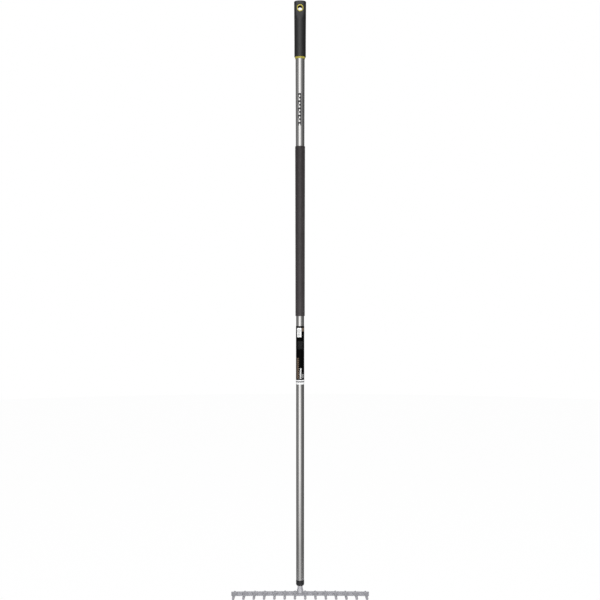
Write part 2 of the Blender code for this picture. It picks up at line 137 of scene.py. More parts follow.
class Signal:
    def __init__(self, socket):
        self.socket = socket

    def node(self, kind, settings, inputs, result=0):
        # Adds a node of any type: its settings first, then the values or links of its sockets.
        tree = self.socket.id_data
        made = tree.nodes.new(kind)
        for name, value in settings.items():
            if name == "stops":
                setStops(made.color_ramp, value)
            else:
                setattr(made, name, value)
        for name, value in inputs.items():
            if isinstance(value, Signal):
                tree.links.new(value.socket, made.inputs[name])
            else:
                made.inputs[name].default_value = value
        return Signal(made.outputs[result])

    def maths(self, operation, *others):
        values = dict(enumerate((self, *others)))
        return self.node("ShaderNodeMath", dict(operation=operation), values)

    def __add__(self, other):
        return self.maths("ADD", other)

    def __radd__(self, other):
        return self.maths("ADD", other)

    def __sub__(self, other):
        return self.maths("SUBTRACT", other)

    def __rsub__(self, other):
        return (self * -1.0) + other

    def __mul__(self, other):
        return self.maths("MULTIPLY", other)

    def __rmul__(self, other):
        return self.maths("MULTIPLY", other)

    def __gt__(self, other):
        return self.maths("GREATER_THAN", other)

    def __lt__(self, other):
        return self.maths("LESS_THAN", other)

    def limited(self):
        return self.maths("MAXIMUM", 0.0).maths("MINIMUM", 1.0)

    def ramp(self, low, high, start=0.0, end=1.0):
        # Goes from start to end as the signal goes from low to high, and stays there.
        values = {"Value": self, "From Min": low, "From Max": high, "To Min": start, "To Max": end}
        return self.node("ShaderNodeMapRange", dict(clamp=True), values)

    def axis(self, letter):
        return self.node("ShaderNodeSeparateXYZ", {}, {"Vector": self}, "XYZ".index(letter))

    def stretched(self, x, y, z):
        return self.node("ShaderNodeMapping", {}, {"Vector": self, "Scale": (x, y, z)})

    def grain(self, scale, detail=3.0, roughness=0.5):
        values = {"Vector": self, "Scale": scale, "Detail": detail, "Roughness": roughness}
        return self.node("ShaderNodeTexNoise", {}, values)

    def cells(self, scale, feature="F1"):
        return self.node("ShaderNodeTexVoronoi", dict(feature=feature), {"Vector": self, "Scale": scale})

    def tint(self, low, high):
        # A colour between two, by this signal.
        values = {"Factor": self, 6: colour(low), 7: colour(high)}
        return self.node("ShaderNodeMix", dict(data_type="RGBA"), values, 2)

    def bump(self, depth, strength=1.0, under=None):
        values = {"Height": self, "Distance": depth, "Strength": strength}
        if under is not None:
            values["Normal"] = under
        return self.node("ShaderNodeBump", {}, values)


def colour(value):
    return value if isinstance(value, Signal) else (*value, 1.0)


def setStops(ramp, stops):
    # The stops of a colour ramp, as (place, grey) pairs in rising order.
    for place, grey in stops[1:-1]:
        ramp.elements.new(place)
    for element, (place, grey) in zip(ramp.elements, stops):
        element.position = place
        element.color = (grey, grey, grey, 1.0)


def startMaterial(name, **settings):
    # A material, its shader, and the object's own coordinates as a signal.
    material = bpy.data.materials.new(name)
    material.use_nodes = True
    shader = material.node_tree.nodes["Principled BSDF"]
    for socket, value in settings.items():
        shader.inputs[socket.replace("_", " ")].default_value = value
    place = material.node_tree.nodes.new("ShaderNodeTexCoord")
    return material, shader, Signal(place.outputs["Object"])


def plug(shader, **signals):
    for socket, signal in signals.items():
        shader.id_data.links.new(signal.socket, shader.inputs[socket.replace("_", " ")])


# Stage

def whiteToEye(tree):
    # 1 for camera, glossy and transmission rays, so that gloss shows the white background too.
    rays = tree.nodes.new("ShaderNodeLightPath")
    seen = Signal(rays.outputs["Is Camera Ray"])
    for name in ("Is Glossy Ray", "Is Transmission Ray"):
        seen = seen.maths("MAXIMUM", Signal(rays.outputs[name]))
    return seen


def makeSky():
    world = bpy.data.worlds.new("sky")
    world.use_nodes = True
    bpy.context.scene.world = world
    tree = world.node_tree
    seen = whiteToEye(tree)
    background = tree.nodes["Background"]
    tint = seen.tint(studio["skyTint"], (1, 1, 1))
    strength = seen.ramp(0, 1, studio["skyLight"], 1.0)
    tree.links.new(tint.socket, background.inputs["Color"])
    tree.links.new(strength.socket, background.inputs["Strength"])


def makeFloor(low):
    bm = bmesh.new()
    bmesh.ops.create_circle(bm, cap_ends=True, segments=64, radius=studio["floorSize"] / 2)
    bmesh.ops.translate(bm, verts=bm.verts, vec=(0, 0, low - studio["floorDrop"]))
    mesh = bpy.data.meshes.new("floor")
    bm.to_mesh(mesh)
    bm.free()
    floor = bpy.data.objects.new("floor", mesh)
    bpy.context.scene.collection.objects.link(floor)
    material = bpy.data.materials.new("floorPaint")
    material.use_nodes = True
    tree = material.node_tree
    tree.nodes.remove(tree.nodes["Principled BSDF"])
    seen = whiteToEye(tree)
    paint = seen.node("ShaderNodeBsdfDiffuse", {}, {"Color": colour(studio["floorPaint"])})
    glow = seen.node("ShaderNodeEmission", {}, {"Color": (1, 1, 1, 1), "Strength": 1.0})
    mixed = seen.node("ShaderNodeMixShader", {}, {0: seen * studio["floorGlow"], 1: paint, 2: glow})
    tree.links.new(mixed.socket, tree.nodes["Material Output"].inputs["Surface"])
    mesh.materials.append(material)
    floor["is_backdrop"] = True


def makeTent():
    bm = turned([(tent["radius"], tent["foot"]), (tent["radius"], tent["top"])], 96, closed=False)
    mesh = bpy.data.meshes.new("tent")
    bm.to_mesh(mesh)
    bm.free()
    wall = bpy.data.objects.new("tent", mesh)
    wall.visible_camera = False
    wall.visible_diffuse = False
    wall.visible_shadow = False
    wall.visible_transmission = False
    bpy.context.scene.collection.objects.link(wall)
    material = bpy.data.materials.new("tentCloth")
    material.use_nodes = True
    tree = material.node_tree
    tree.nodes.remove(tree.nodes["Principled BSDF"])
    place = Signal(tree.nodes.new("ShaderNodeTexCoord").outputs["Object"])
    share = place.axis("X").maths("ARCTAN2", place.axis("Y") * -1.0) * (0.5 / math.pi) + 0.5
    greys = []
    for name in ("upper", "lower"):
        stops = [(angle / 360 + 0.5, grey / tent["brightest"]) for angle, grey in tent[name]]
        greys.append(share.node("ShaderNodeValToRGB", dict(stops=stops), {"Fac": share}))
    level = place.axis("Z").ramp(tent["changeTop"], tent["changeFoot"])
    light = level.tint(greys[0], greys[1])
    glow = share.node("ShaderNodeEmission", {}, {"Color": light, "Strength": tent["brightest"]})
    tree.links.new(glow.socket, tree.nodes["Material Output"].inputs["Surface"])
    mesh.materials.append(material)
    wall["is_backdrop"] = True


def makeStudio():
    scene = bpy.context.scene
    scene.view_settings.view_transform = "Standard"
    makeCamera()
    makeSky()
    makeFloor(cadBox[0].z)
    makeTent()
    for name, values in lamps.items():
        makeLamp(name + "Lamp", *values)
    print("studio: camera, sky, floor, tent and", len(lamps), "lamps")


# Shared modelling helpers

def arc(middle, size, start, end, steps):
    # Points on part of an ellipse, from the start angle to the end angle in degrees.
    angles = [math.radians(start + (end - start) * i / steps) for i in range(steps + 1)]
    return [(middle[0] + size[0] * math.cos(a), middle[1] + size[1] * math.sin(a)) for a in angles]


def rows(start, end, count):
    # Evenly spaced heights between two ends, without the ends.
    return [start + (end - start) * i / count for i in range(1, count)]


def turned(profile, steps, closed=True, axis="Z"):
    # Spins (radius, place) points round an axis. An open profile starts and ends on the axis.
    bm = bmesh.new()
    points = [(r, 0, p) if axis == "Z" else (r, p, 0) for r, p in profile]
    verts = [bm.verts.new(point) for point in points]
    pairs = list(zip(verts, verts[1:]))
    if closed:
        pairs.append((verts[-1], verts[0]))
    edges = [bm.edges.new(pair) for pair in pairs]
    direction = (0, 0, 1) if axis == "Z" else (0, 1, 0)
    bmesh.ops.spin(
        bm, geom=verts + edges, cent=(0, 0, 0), axis=direction, angle=math.tau, steps=steps, use_merge=True
    )
    bmesh.ops.remove_doubles(bm, verts=bm.verts, dist=1e-6)
    bmesh.ops.recalc_face_normals(bm, faces=bm.faces)
    return bm


def toObject(name, bm, material, sharp=40):
    mesh = bpy.data.meshes.new(name)
    bm.to_mesh(mesh)
    bm.free()
    mesh.materials.append(material)
    mesh.shade_smooth()
    mesh.set_sharp_from_angle(angle=math.radians(sharp))
    made = bpy.data.objects.new(name, mesh)
    bpy.context.scene.collection.objects.link(made)
    return made


def combine(made, tool, operation="DIFFERENCE", sharp=40):
    # Cuts the tool from a piece, or joins it on, and clears the tool away.
    modifier = made.modifiers.new("combine", "BOOLEAN")
    modifier.object = tool
    modifier.operation = operation
    modifier.solver = "EXACT"
    evaluated = made.evaluated_get(bpy.context.evaluated_depsgraph_get())
    mesh = bpy.data.meshes.new_from_object(evaluated)
    mesh.name = made.name
    # Where corners of both pieces meet, a cut leaves slivers that fold shut in an export, so they are closed.
    bm = bmesh.new()
    bm.from_mesh(mesh)
    bmesh.ops.triangulate(bm, faces=bm.faces)
    bmesh.ops.dissolve_degenerate(bm, dist=sliver, edges=bm.edges)
    bm.to_mesh(mesh)
    bm.free()
    mesh.shade_smooth()
    mesh.set_sharp_from_angle(angle=math.radians(sharp))
    made.modifiers.clear()
    made.data = mesh
    bpy.data.objects.remove(tool)


def install(piece, slot, *nodes):
    # The piece rides on the rake's one body and stands for its CAD nodes.
    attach(piece, "root")
    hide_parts(*nodes)
    print("made", piece.name, "for", ", ".join(nodes), "-", len(piece.data.polygons), "faces")
    return piece


def placed(middle, size, turn=Matrix()):
    return Matrix.Translation(middle) @ turn @ Matrix.Diagonal((*size, 1))


# Turns of a flat outline, so that it is seen from the front or from the side.
flatToWall = Matrix(((1, 0, 0, 0), (0, 0, 1, 0), (0, 1, 0, 0), (0, 0, 0, 1)))
flatToSide = Matrix(((0, 0, 1, 0), (1, 0, 0, 0), (0, 1, 0, 0), (0, 0, 0, 1)))


def roundOutline(steps):
    bm = bmesh.new()
    bmesh.ops.create_circle(bm, cap_ends=True, segments=steps, radius=1.0)
    return bm


def softOutline(width, height, corner, steps):
    # A flat rectangle with rounded corners.
    bm = bmesh.new()
    bmesh.ops.create_grid(bm, x_segments=1, y_segments=1, size=0.5)
    bmesh.ops.scale(bm, verts=bm.verts, vec=(width, height, 1))
    bmesh.ops.bevel(
        bm, geom=bm.verts[:], offset=corner, affect="VERTICES", segments=steps, profile=0.5, material=-1
    )
    return bm


def drawOut(bm, places):
    # Draws a flat outline through a row of places, each of which sets its size and position.
    cap = bm.faces[:][0]
    outline = [vert.co.copy() for vert in cap.verts]
    for vert, point in zip(cap.verts, outline):
        vert.co = places[0] @ point
    for step, place in enumerate(places[1:]):
        grown = bmesh.ops.extrude_face_region(bm, geom=[cap])["geom"]
        if step:
            bmesh.ops.delete(bm, geom=[cap], context="FACES_ONLY")
        cap = next(item for item in grown if isinstance(item, bmesh.types.BMFace))
        for vert, point in zip(cap.verts, outline):
            vert.co = place @ point
    bmesh.ops.recalc_face_normals(bm, faces=bm.faces)
    return bm


def rod(size, halfLength, steps, material):
    # An oval cutter through the hang hole, from front to back.
    places = [placed((0, y, 0), (size[0], size[1], 1), flatToWall) for y in (-halfLength, halfLength)]
    return toObject("rod", drawOut(roundOutline(steps), places), material)


def block(low, high, material):
    # A plain cutter between two corners.
    bm = bmesh.new()
    bmesh.ops.create_cube(bm, size=1.0)
    low, high = Vector(low), Vector(high)
    bmesh.ops.scale(bm, verts=bm.verts, vec=high - low)
    bmesh.ops.translate(bm, verts=bm.verts, vec=(low + high) / 2)
    return toObject("block", bm, material)


# Shaft

shaft = dict(
    footRadius=11.0 * mm,
    widening=1.6 * mm,      # more radius at the hand grip
    wideningPower=1.5,
    wall=1.2 * mm,
    rim=0.25 * mm,
    rows=48,
    steps=96,
)

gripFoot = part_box("grip_core")[0].z
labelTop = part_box("label_sleeve")[1].z


def shaftRadius(height):
    share = min(max((height - labelTop) / (gripFoot - labelTop), 0.0), 1.0)
    return shaft["footRadius"] + shaft["widening"] * share ** shaft["wideningPower"]


def drawnAluminium():
    look = dict(
        pale=(0.705, 0.698, 0.687),
        dull=(0.575, 0.568, 0.56),
        lineScale=2600.0,
        smudgeScale=9.0,
        ink=(0.008, 0.008, 0.009),
    )
    scale = dict(            # a plain printed scale, where the hand grips
        top=-235.0 * mm,
        foot=-324.0 * mm,
        pitch=9.9 * mm,
        tick=0.50,           # share of the pitch that a tick takes up
        left=-5.4 * mm,
        right=2.9 * mm,
        spine=2.6 * mm,
        edge=1.8 * mm,       # width of the thin line on its left
        short=2.6 * mm,      # how much shorter every second tick is
    )
    material, shader, place = startMaterial("drawnAluminium", IOR=1.45)
    lines = place.stretched(1, 1, 0.004).grain(look["lineScale"], 2.0)
    broad = place.stretched(1, 1, 0.02).grain(320.0, 3.0)
    smudge = place.grain(look["smudgeScale"], 4.0, 0.6)
    scratch = place.stretched(1, 1, 0.06).cells(900.0, "DISTANCE_TO_EDGE")
    wearAndPaintedLight = (scratch < 0.02) * (smudge > 0.56)
    tone = (lines * 0.35 + broad * 0.35 + smudge * 0.3).ramp(0.35, 0.65)
    metal = tone.tint(look["dull"], look["pale"])
    across, depth, height = (place.axis(letter) for letter in "XYZ")
    printed = (height < scale["top"]) * (height > scale["foot"]) * (depth < 0.0)
    along = (height * -1.0 + scale["top"]) * (1 / scale["pitch"])
    tick = along.maths("FRACT") < scale["tick"]
    long = (along * 0.5).maths("FRACT") < 0.5
    reach = long.ramp(0, 1, scale["left"] + scale["short"], scale["left"])
    spine = (across > scale["right"] - scale["spine"]) * (across < scale["right"])
    thin = (across > scale["left"]) * (across < scale["left"] + scale["edge"]) * long
    ink = (tick * (across > reach) * (across < scale["right"])).maths("MAXIMUM", spine).maths("MAXIMUM", thin)
    ink = printed * ink
    plug(
        shader,
        Base_Color=ink.tint(metal, look["ink"]),
        Metallic=ink.ramp(0, 1, 1.0, 0.0),
        Roughness=smudge.ramp(0.3, 0.7, 0.17, 0.23) + lines * 0.05 + wearAndPaintedLight * 0.12 + ink * 0.12,
        Normal=(lines * 0.7 + broad * 0.3).bump(0.02 * mm, 0.35),
    )
    return material


def makeShaft():
    low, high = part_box("shaft_tube")
    heights = [low.z + shaft["rim"]] + rows(low.z, high.z, shaft["rows"]) + [high.z - shaft["rim"]]
    outside = [(shaftRadius(low.z) - shaft["rim"], low.z)]
    outside += [(shaftRadius(height), height) for height in heights]
    outside.append((shaftRadius(high.z) - shaft["rim"], high.z))
    inside = [(shaftRadius(height) - shaft["wall"], height) for height in (high.z, labelTop, low.z)]
    bm = turned(outside + inside, shaft["steps"])
    install(toObject("shaftTube", bm, drawnAluminium()), "tube_aluminium", "shaft_tube")


# Hand grip: a hard amber core with a collar and an eyelet, under a soft black cover

grip = dict(
    holeToEnd=19.6 * mm,    # from the hang hole's middle to the rim of the end
    crown=0.7 * mm,
    endRound=1.7 * mm,
    length=153.1 * mm,
    flare=0.75 * mm,        # more radius at the end than lower down
    flareLength=115.0 * mm,
    flarePower=1.1,
    crownPower=4,
    coreWall=1.3 * mm,
    coverWall=1.33 * mm,
    endWall=2.9 * mm,
    footRound=0.6 * mm,
    endThickness=22.0 * mm,
    dishRadius=75.0 * mm,
    dishSkin=1.2 * mm,
    crease=4.0 * mm,        # how softly the dish runs out into the round grip
    innerCrease=0.1 * mm,   # the same inside, between cover and core
    steps=160,
)

eyelet = dict(
    halfWidth=6.6 * mm,     # of the oval hang hole
    halfHeight=6.8 * mm,
    sideWall=2.5 * mm,
    endWall=3.1 * mm,       # above the hole and below it
    proud=0.9 * mm,         # past the deepest point of the dish
    outerRound=0.7 * mm,
    innerRound=0.9 * mm,
    steps=128,
)

collar = dict(
    band=0.7 * mm,
    drop=0.8 * mm,
    step=1.5 * mm,          # how far it stays inside the cover
    lip=0.4 * mm,
    edge=0.2 * mm,
    draft=0.06 * mm,        # narrower at the foot of the band
)

socketRadius = shaft["footRadius"] + shaft["widening"] + fit
coreRadius = socketRadius + grip["coreWall"]
coverBore = coreRadius + fit
gripRadius = coverBore + grip["coverWall"]
coverFoot = grip["holeToEnd"] - grip["length"]
coreTop = grip["holeToEnd"] - grip["endWall"]
coreDishHalf = grip["endThickness"] / 2 - grip["dishSkin"] - fit


def dishDepth(height, halfThickness, radius):
    # How far a dish lets the grip reach from its middle plane at a height.
    return halfThickness + radius - math.sqrt(max(radius ** 2 - height ** 2, 0.0))


def softMin(a, b, blend):
    near = max(blend - abs(a - b), 0.0) / blend
    return min(a, b) - near * near * blend / 4


def pressDish(verts, halfThickness, radius, blend):
    # Presses the front and the back of the grip's end into shallow dishes.
    for vert in verts:
        if abs(vert.co.z) < radius / 2:
            limit = dishDepth(vert.co.z, halfThickness, radius)
            vert.co.y = math.copysign(softMin(abs(vert.co.y), limit, blend), vert.co.y)


def amberPlastic():
    look = dict(
        fresh=(0.43, 0.375, 0.055),
        deep=(0.34, 0.29, 0.034),
        rubbed=(0.56, 0.51, 0.15),
        bore=(0.030, 0.007, 0.003),     # painted shade deep inside the hole
        boreShadeEdge=0.3 * mm,              # where that starts, below the eyelet's face
        boreShadeDeep=1.5 * mm,
        boreShadeFoot=-20 * mm,              # the collar lies below this and keeps its colour
    )
    material, shader, place = startMaterial("amberPlastic", Coat_Roughness=0.25, IOR=1.49)
    cloud = place.grain(70.0, 3.0, 0.55)
    flow = place.stretched(1, 1, 0.25).grain(520.0, 2.0)
    pits = place.grain(5200.0, 2.0, 0.6)
    scuff = (place.grain(260.0, 4.0, 0.7) > 0.61) * (pits > 0.45)
    body = (cloud * 0.7 + flow * 0.3).ramp(0.35, 0.65).tint(look["deep"], look["fresh"])
    body = (scuff * 0.45).tint(body, look["rubbed"])
    face = grip["endThickness"] / 2 + eyelet["proud"]
    # Painted shade: the hole's wall turns dark with depth behind the eyelet's face, with more roughness and
    # no coat there.
    inside = place.axis("Y").maths("ABSOLUTE").ramp(face - look["boreShadeEdge"], face - look["boreShadeDeep"])
    inside = inside * (place.axis("Z") > look["boreShadeFoot"])
    plug(
        shader,
        Base_Color=inside.tint(body, look["bore"]),
        Roughness=cloud.ramp(0.3, 0.7, 0.30, 0.42) + scuff * 0.16 + inside * 0.2,
        Coat_Weight=cloud.ramp(0.35, 0.65, 0.25, 0.10) * (1.0 - inside),
        Normal=pits.bump(0.015 * mm, 0.4),
    )
    return material


def softBlack():
    look = dict(
        black=(0.0020, 0.0020, 0.0022),
        grey=(0.0050, 0.0048, 0.0050),
        dust=(0.040, 0.038, 0.037),
        handledFrom=-30 * mm,           # the grip is smoother below this
        handledTo=-110 * mm,
    )
    material, shader, place = startMaterial("softBlack", Specular_IOR_Level=0.85, IOR=1.5)
    height = place.axis("Z")
    cloud = place.grain(38.0, 4.0, 0.6)
    skin = place.cells(2400.0)
    fine = place.grain(7000.0, 2.0, 0.6)
    handled = height.ramp(look["handledFrom"], look["handledTo"]) * cloud.ramp(0.42, 0.62)
    dust = (place.grain(420.0, 5.0, 0.75) > 0.64) * fine.ramp(0.4, 0.6)
    body = (cloud * 0.6 + fine * 0.4).ramp(0.38, 0.62).tint(look["black"], look["grey"])
    plug(
        shader,
        Base_Color=(dust * 0.35).tint(body, look["dust"]),
        Roughness=cloud.ramp(0.3, 0.7, 0.47, 0.53) - handled * 0.03 + dust * 0.15,
        Normal=(skin * 0.6 + fine * 0.4).bump(0.05 * mm, 0.5),
    )
    return material


def makeGripCover():
    rim = gripRadius + grip["flare"] - grip["endRound"]
    top = grip["holeToEnd"]
    flareFoot = top - grip["flareLength"]
    foot = (gripRadius - grip["footRound"], coverFoot + grip["footRound"])
    profile = [(0, coreTop + fit)] + [(coverBore * share, coreTop + fit) for share in (0.35, 0.7, 1.0)]
    profile += [(coverBore, height) for height in rows(coreTop + fit, coverFoot, 90)]
    profile.append((coverBore, coverFoot))
    profile += arc(foot, (grip["footRound"], grip["footRound"]), -90, 0, 6)
    profile += [(gripRadius, height) for height in rows(foot[1], flareFoot, 40)]
    for height in rows(flareFoot, top - grip["endRound"], 110):
        share = (height - flareFoot) / grip["flareLength"]
        profile.append((gripRadius + grip["flare"] * share ** grip["flarePower"], height))
    profile += arc((rim, top - grip["endRound"]), (grip["endRound"], grip["endRound"]), 0, 84, 8)
    for share in (0.92, 0.84, 0.74, 0.62, 0.5, 0.36, 0.2, 0.0):
        profile.append((rim * share, top + grip["crown"] * (1 - share ** grip["crownPower"])))
    bm = turned(profile, grip["steps"], closed=False)
    low = [vert for vert in bm.verts if vert.co.z < coreTop + 2 * fit]
    inner = {vert for vert in low if math.hypot(vert.co.x, vert.co.y) < coverBore + fit / 2}
    outer = set(bm.verts) - inner
    pressDish(inner, coreDishHalf + fit, grip["dishRadius"] + grip["dishSkin"], grip["innerCrease"])
    pressDish(outer, grip["endThickness"] / 2, grip["dishRadius"], grip["crease"])
    black = softBlack()
    cover = toObject("gripCover", bm, black, 50)
    window = (eyelet["halfWidth"] + eyelet["sideWall"] + fit, eyelet["halfHeight"] + eyelet["endWall"] + fit)
    combine(cover, rod(window, 2 * gripRadius, eyelet["steps"], black), sharp=50)
    install(cover, "black_soft_plastic", "grip_cover")


def eyeletRing(material):
    # A tube across the grip's end with rounded rims, spun round the hole's axis and drawn out to an oval.
    half = grip["endThickness"] / 2 + eyelet["proud"]
    inner, outer = eyelet["halfWidth"], eyelet["halfWidth"] + eyelet["sideWall"]
    big, small = eyelet["innerRound"], eyelet["outerRound"]
    profile = []
    for side in (-1, 1):
        rim = arc((outer - small, half - small), (small, small), 0, 90, 6)
        rim += arc((inner + big, half - big), (big, big), 90, 180, 6)
        points = [(radius, side * place) for radius, place in rim]
        profile += points[::-1] if side < 0 else points
    bm = turned(profile, eyelet["steps"], axis="Y")
    for vert in bm.verts:
        radius = math.hypot(vert.co.x, vert.co.z)
        share = (radius - inner) / eyelet["sideWall"]
        vert.co.z *= (eyelet["halfHeight"] + share * eyelet["endWall"]) / radius
    return toObject("eyeletRing", bm, material)


def makeGripCore():
    amber = amberPlastic()
    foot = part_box("grip_core")[0].z - collar["drop"]
    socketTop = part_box("shaft_tube")[1].z + fit
    top = coverFoot - fit
    edge = collar["edge"]
    wide = gripRadius - collar["step"]
    lip = socketRadius + collar["lip"]
    profile = [(0, coreTop), (coreRadius * 0.6, coreTop), (coreRadius - edge, coreTop)]
    profile.append((coreRadius, coreTop - edge))
    profile += [(coreRadius, height) for height in rows(coreTop, top, 100)]
    profile += [(coreRadius, top), (wide - edge, top), (wide, top - edge), (wide, top - collar["band"])]
    profile += [(wide - collar["draft"], top - collar["band"] - edge)]
    profile += [(lip + edge / 2, foot + edge), (lip - edge, foot)]
    profile += [(socketRadius + edge, foot), (socketRadius, foot + edge)]
    profile += [(socketRadius, height) for height in rows(foot + edge, socketTop, 12)]
    profile += [(socketRadius, socketTop), (0, socketTop)]
    bm = turned(profile, eyelet["steps"], closed=False)
    end = [vert for vert in bm.verts if vert.co.z > socketTop + fit]
    pressDish(end, coreDishHalf, grip["dishRadius"] + grip["dishSkin"] + fit, grip["innerCrease"])
    core = toObject("gripCore", bm, amber, 50)
    middle = (eyelet["halfWidth"] + eyelet["sideWall"] / 2, eyelet["halfHeight"] + eyelet["endWall"] / 2)
    combine(core, rod(middle, 2 * gripRadius, eyelet["steps"], amber), sharp=50)
    combine(core, eyeletRing(amber), "UNION", sharp=50)
    install(core, "amber_plastic", "grip_core")


# Foam sleeve

foam = dict(
    topWall=1.55 * mm,
    footWall=1.6 * mm,
    endRound=0.9 * mm,
    rings=(4.2 * mm, 8.4 * mm),     # below the upper end
    ringHalf=0.8 * mm,
    ringZone=12 * mm,               # the part with the rings, which has closer rows
    zoneRows=40,
    ringDepth=0.3 * mm,
    waveDepth=0.06 * mm,
    rows=300,
    steps=112,
)


def charcoalFoam():
    look = dict(dark=(0.0125, 0.0095, 0.0100), pale=(0.034, 0.0285, 0.0296), dusty=(0.060, 0.052, 0.052))
    material, shader, place = startMaterial("charcoalFoam", IOR=1.45, Sheen_Weight=0.04, Sheen_Roughness=0.6)
    pores = place.cells(2100.0)
    small = place.cells(5200.0)
    cloud = place.grain(30.0, 4.0, 0.6)
    rubbed = place.stretched(1, 1, 0.3).grain(150.0, 4.0, 0.7)
    wearAndPaintedLight = place.axis("Z").ramp(-0.38, -0.85)        # painted light: paler towards its foot, where the light falls stronger
    tone = (cloud * 0.5 + pores * 0.3 + rubbed * 0.2).ramp(0.3, 0.62) * 0.4 + wearAndPaintedLight * 0.6
    body = tone.tint(look["dark"], look["pale"])
    plug(
        shader,
        Base_Color=(rubbed.ramp(0.58, 0.72) * 0.4).tint(body, look["dusty"]),
        Roughness=rubbed.ramp(0.35, 0.7, 0.50, 0.42),
        Normal=(pores * 0.6 + small * 0.4).bump(0.12 * mm, 0.6),
    )
    return material


def foamRadius(height, top, foot):
    share = (height - foot) / (top - foot)
    radius = shaftRadius(height) + fit + foam["footWall"] + (foam["topWall"] - foam["footWall"]) * share
    for drop in foam["rings"]:
        away = abs(top - drop - height) / foam["ringHalf"]
        radius -= foam["ringDepth"] * max(0.0, 1 - away ** 2)
    return radius


def makeFoamSleeve():
    low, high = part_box("foam_sleeve")
    top, foot, size = high.z, low.z, (foam["endRound"], foam["endRound"])
    shoulder = [foamRadius(end, top, foot) - foam["endRound"] for end in (top, foot)]
    profile = arc((shoulder[0], top - foam["endRound"]), size, 90, 0, 6)
    zoneFoot = top - foam["ringZone"]
    heights = rows(top - foam["endRound"], zoneFoot, foam["zoneRows"])
    heights += rows(zoneFoot, foot + foam["endRound"], foam["rows"])
    profile += [(foamRadius(height, top, foot), height) for height in heights]
    profile += arc((shoulder[1], foot + foam["endRound"]), size, 0, -90, 6)
    profile += [(shaftRadius(height) + fit, height) for height in [foot] + rows(foot, top, 10) + [top]]
    bm = turned(profile, foam["steps"])
    for vert in bm.verts:
        out = Vector((vert.co.x, vert.co.y, 0))
        if out.length > shaftRadius(vert.co.z) + 2 * fit:
            wave = noise.noise(vert.co * 45) + 0.5 * noise.noise(vert.co * 160)
            vert.co += out.normalized() * (wave - 1) * foam["waveDepth"]
    sleeve = install(toObject("foamSleeve", bm, charcoalFoam(), 50), "charcoal_foam", "foam_sleeve")


# Printed film

film = dict(
    wall=0.25 * mm,
    gap=0.2 * mm,
    overlap=7.0 * mm,       # of its ends behind the shaft
    step=0.10 * mm,
    stepEdge=0.6 * mm,      # width over which the lap rises
    wave=0.03 * mm,
    rows=40,
    steps=160,
)


def patch(u, v, left, right, top, foot):
    # 1 inside a rectangle of the film's plane: across by down from its upper end, in millimetres.
    return (u > left) * (u < right) * (v > top) * (v < foot)


def printedFilm(top, radius):
    look = dict(
        ground=(0.0012, 0.0012, 0.0012),
        white=(0.80, 0.80, 0.79),
        grey=(0.10, 0.10, 0.10),
        dim=(0.035, 0.035, 0.036),
        sand=(0.20, 0.15, 0.11),
        clay=(0.165, 0.118, 0.084),
        band=(0.72, 0.72, 0.72),
        rubbed=(0.30, 0.30, 0.30),
    )
    # Rectangles in millimetres: left, right, upper and lower edge.
    areas = dict(
        panel=(-9.1, 3.5, 5.2, 30.5),
        lines=(-6.8, 1.1, 20.3, 28.0),
        squares=(6.0, 12.6, 5.2, 14.6),
        lattice=(-7.5, 7.5, 41.0, 63.5),
        chevrons=(-11.6, -3.6, 87.5, 145.5),
        bars=(-1.6, 2.6, 115.5, 145.5),
        shortBars=(7.4, 9.4, 131.5, 143.5),
    )
    ringMiddle, ringRadius, ringLine = (-2.9, 13.5), 3.4, (-1.0, 0.65)
    bandTop, hairTop, hairFoot = 148.4, 152.2, 154.8
    material, shader, place = startMaterial("printedFilm", Specular_IOR_Level=0.03, IOR=1.48)
    across, depth, height = (place.axis(letter) for letter in "XYZ")
    u = across.maths("ARCTAN2", depth * -1.0) * (radius / mm)
    v = (height * -1.0 + top) * (1 / mm)
    panel = patch(u, v, *areas["panel"])
    off = (u - ringMiddle[0], v - ringMiddle[1])
    ring = (off[0] * off[0] + off[1] * off[1]).maths("SQRT")
    inked = patch((ring - ringRadius).maths("ABSOLUTE"), v, *ringLine, 0.0, areas["panel"][3])
    lines = ((v * 0.4).maths("FRACT") < 0.42) * patch(u, v, *areas["lines"])
    inked = inked.maths("MAXIMUM", lines)
    squares = ((v - areas["squares"][2]) * (1 / 3.4)).maths("FRACT") < 0.76
    squares = squares * patch(u, v, *areas["squares"])
    rising, falling = (((diagonal * 0.36).maths("FRACT") < 0.2) for diagonal in (u + v, u - v))
    lattice = rising.maths("MAXIMUM", falling) * patch(u, v, *areas["lattice"])
    slant = v + (u - sum(areas["chevrons"][:2]) / 2).maths("ABSOLUTE") * 0.9
    chevrons = ((slant * (1 / 5.6)).maths("FRACT") < 0.52) * patch(u, v, *areas["chevrons"])
    run = v.maths("FLOOR").maths("MULTIPLY", 0.731).maths("FRACT") * 1.8
    bars = patch(u - run, v, *areas["bars"]) * (v.maths("FRACT") < 0.62)
    shortBars = patch(u, v, *areas["shortBars"]) * ((v * 0.5).maths("FRACT") < 0.6)
    foot = v > bandTop
    layers = (
        (panel, "white"),
        (inked * panel, "grey"),
        (squares, "sand"),
        (lattice, "dim"),
        (chevrons, "clay"),
        (bars.maths("MAXIMUM", shortBars), "white"),
        (foot, "band"),
        (foot * (v > hairTop) * (v < hairFoot), "ground"),
    )
    design = look["ground"]
    for area, name in layers:
        design = area.tint(design, look[name])
    haze = place.grain(60.0, 4.0, 0.6)
    specks = place.grain(3800.0, 2.0, 0.6)
    rubs = place.stretched(1, 1, 0.2).grain(800.0, 4.0, 0.75).ramp(0.66, 0.74)
    plug(
        shader,
        Base_Color=(rubs * 0.15).tint(design, look["rubbed"]),
        Roughness=haze.ramp(0.3, 0.7, 0.38, 0.50) + rubs * 0.2,
        Normal=(haze * 0.5 + specks * 0.1).bump(0.03 * mm, 0.4),
    )
    return material


